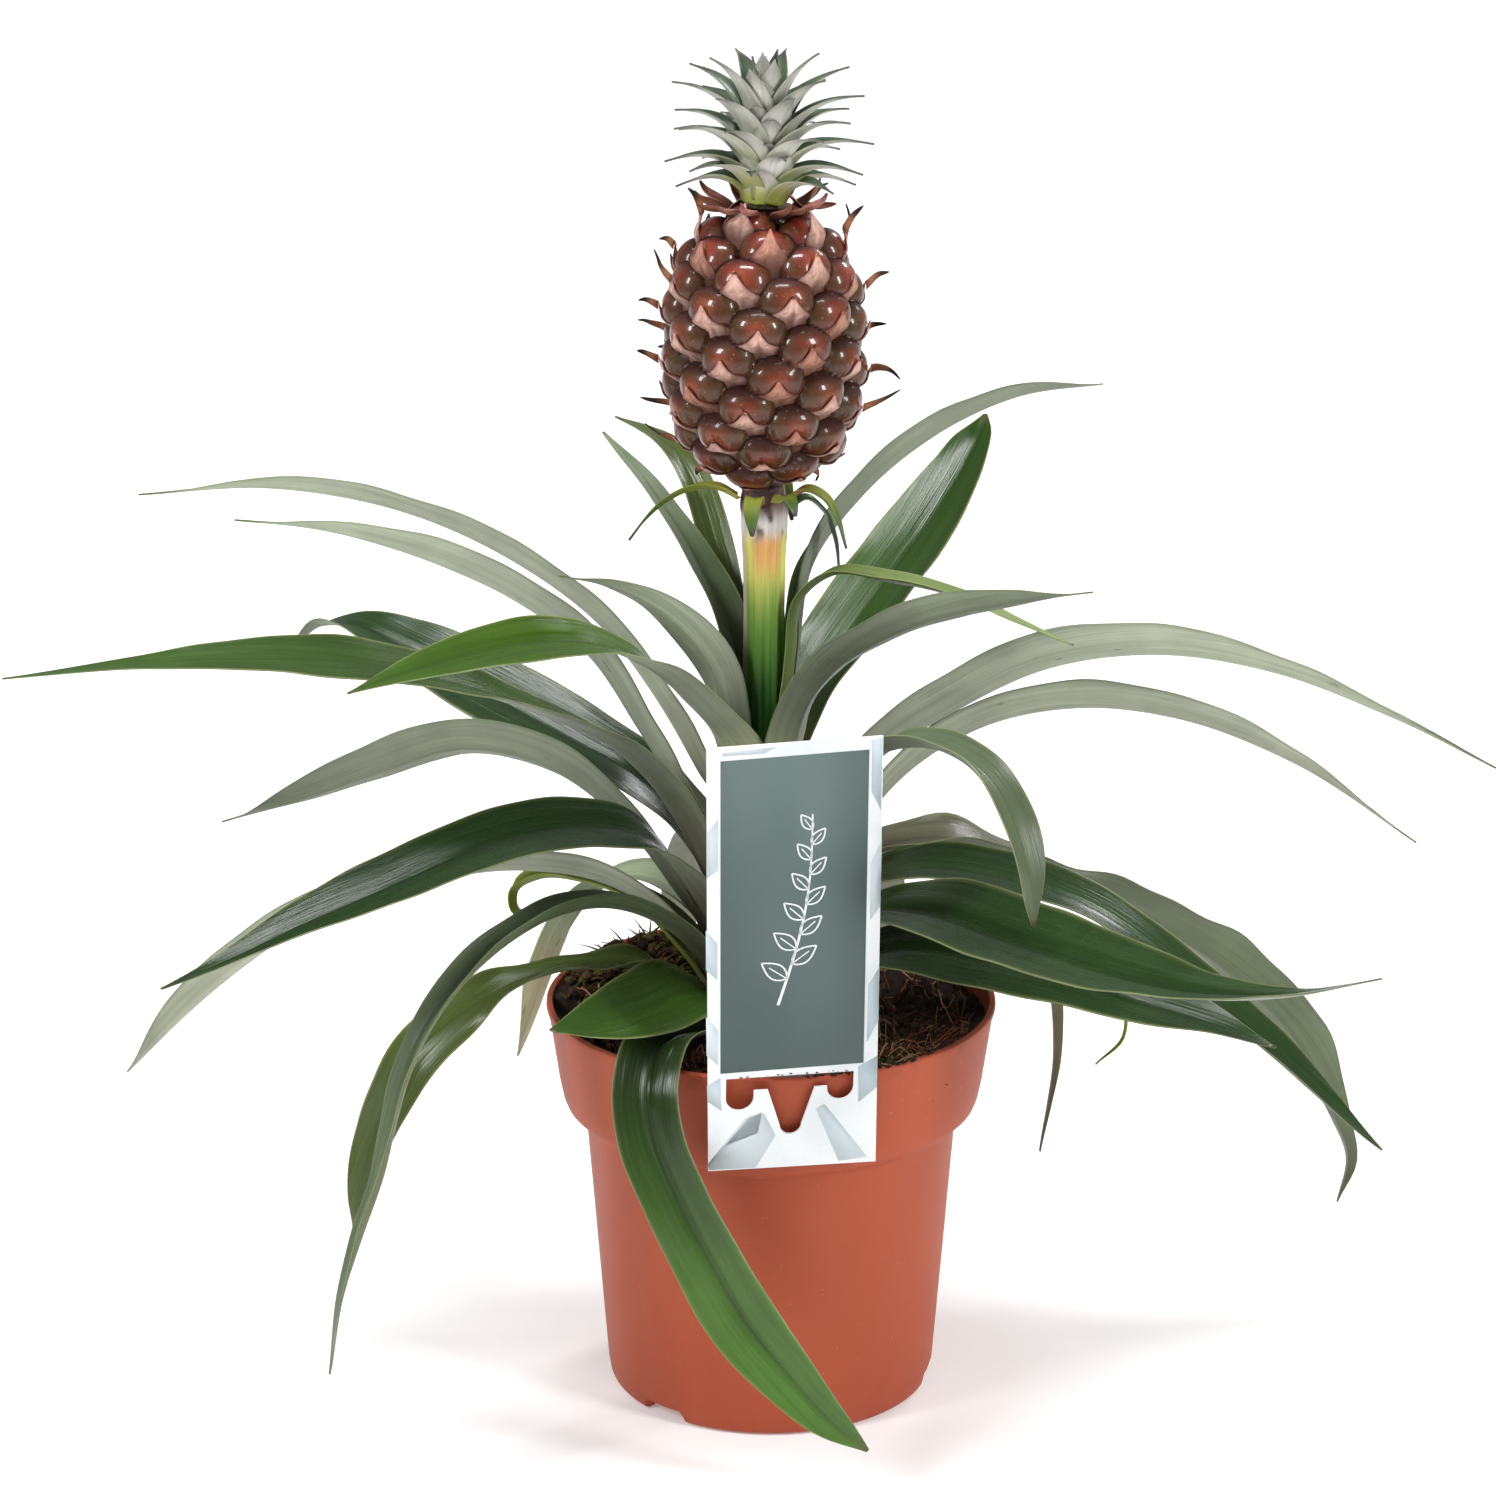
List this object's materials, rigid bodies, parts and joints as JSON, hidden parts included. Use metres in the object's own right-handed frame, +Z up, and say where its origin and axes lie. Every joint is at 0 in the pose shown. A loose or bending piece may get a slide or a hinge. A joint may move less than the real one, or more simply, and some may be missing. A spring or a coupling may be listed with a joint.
{
  "type": "potted pineapple plant",
  "caption": "Young pineapple plant with long arching leaves, a leafy-topped fruit on a stalk, in a round collared nursery pot with soil and a hanging card label.",
  "frame": {"origin": "middle of the pot's flat base, where the plant stands on a shelf or table", "axes": "+Z up the stalk; -Y towards the viewer and the card label; +X to the viewer's right"},
  "size_m": [0.3624, 0.2984, 0.3597],
  "materials": {
    "leaf": "satin",
    "bract": "satin",
    "stem": "satin",
    "fruit": "satin",
    "crown": "satin",
    "soil": "matte",
    "pot": "satin",
    "label": "satin"
  },
  "bodies": {
    "root": {"bract_back": "bract", "bract_grey_right": "bract", "bract_hanging_front": "bract", "bract_long_left": "bract", "bract_long_right": "bract", "bract_short_front": "bract", "crown": "crown", "fruit": "fruit", "label": "label", "leaf_arched_right": "leaf", "leaf_broad_back_left": "leaf", "leaf_broad_back_right": "leaf", "leaf_broad_front_left": "leaf", "leaf_broad_front_right": "leaf", "leaf_curled_right": "leaf", "leaf_drooping_left": "leaf", "leaf_drooping_left_inner": "leaf", "leaf_far_right": "leaf", "leaf_front_left": "leaf", "leaf_front_right": "leaf", "leaf_grey_left": "leaf", "leaf_hanging_back_left": "leaf", "leaf_hanging_right": "leaf", "leaf_long_left_lower": "leaf", "leaf_long_left_upper": "leaf", "leaf_long_right_lower": "leaf", "leaf_long_right_upper": "leaf", "leaf_longest_left": "leaf", "leaf_looped_left": "leaf", "leaf_low_back": "leaf", "leaf_low_back_left": "leaf", "leaf_low_back_right": "leaf", "leaf_low_right": "leaf", "leaf_over_pot_front": "leaf", "leaf_short_front": "leaf", "leaf_short_inner_left": "leaf", "leaf_tall_right": "leaf", "leaf_thin_inner_right": "leaf", "leaf_thin_low_right": "leaf", "leaf_under_left": "leaf", "leaf_upright_back": "leaf", "leaf_upright_back_left": "leaf", "pot": "pot", "soil": "soil", "stem": "stem"}
  },
  "joints": []
}
